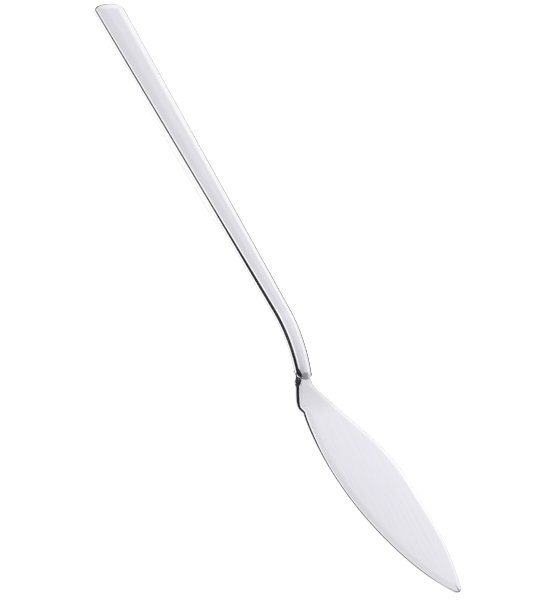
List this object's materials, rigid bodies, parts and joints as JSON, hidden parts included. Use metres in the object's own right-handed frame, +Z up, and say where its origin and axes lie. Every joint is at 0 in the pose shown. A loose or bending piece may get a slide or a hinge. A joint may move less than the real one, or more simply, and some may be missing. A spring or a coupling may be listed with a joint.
{
  "type": "fish knife",
  "caption": "Slender polished steel fish knife with a slim tapered handle cranked down to a broad, flat, one-sided leaf blade that lies on the table.",
  "frame": {"origin": "middle of the knife's box in plan, at the height of the table that it lies on", "axes": "+X along the knife from the butt of the handle to the tip of the blade, +Y to the spine side of the blade, +Z up from the table"},
  "size_m": [0.2058, 0.0234, 0.0076],
  "materials": {
    "polished_steel": "polished",
    "cement": "matte"
  },
  "bodies": {
    "root": {"blade": "polished_steel", "handle_upper_shell": "polished_steel", "handle_lower_shell": "polished_steel", "tang_cement": "cement"}
  },
  "joints": []
}
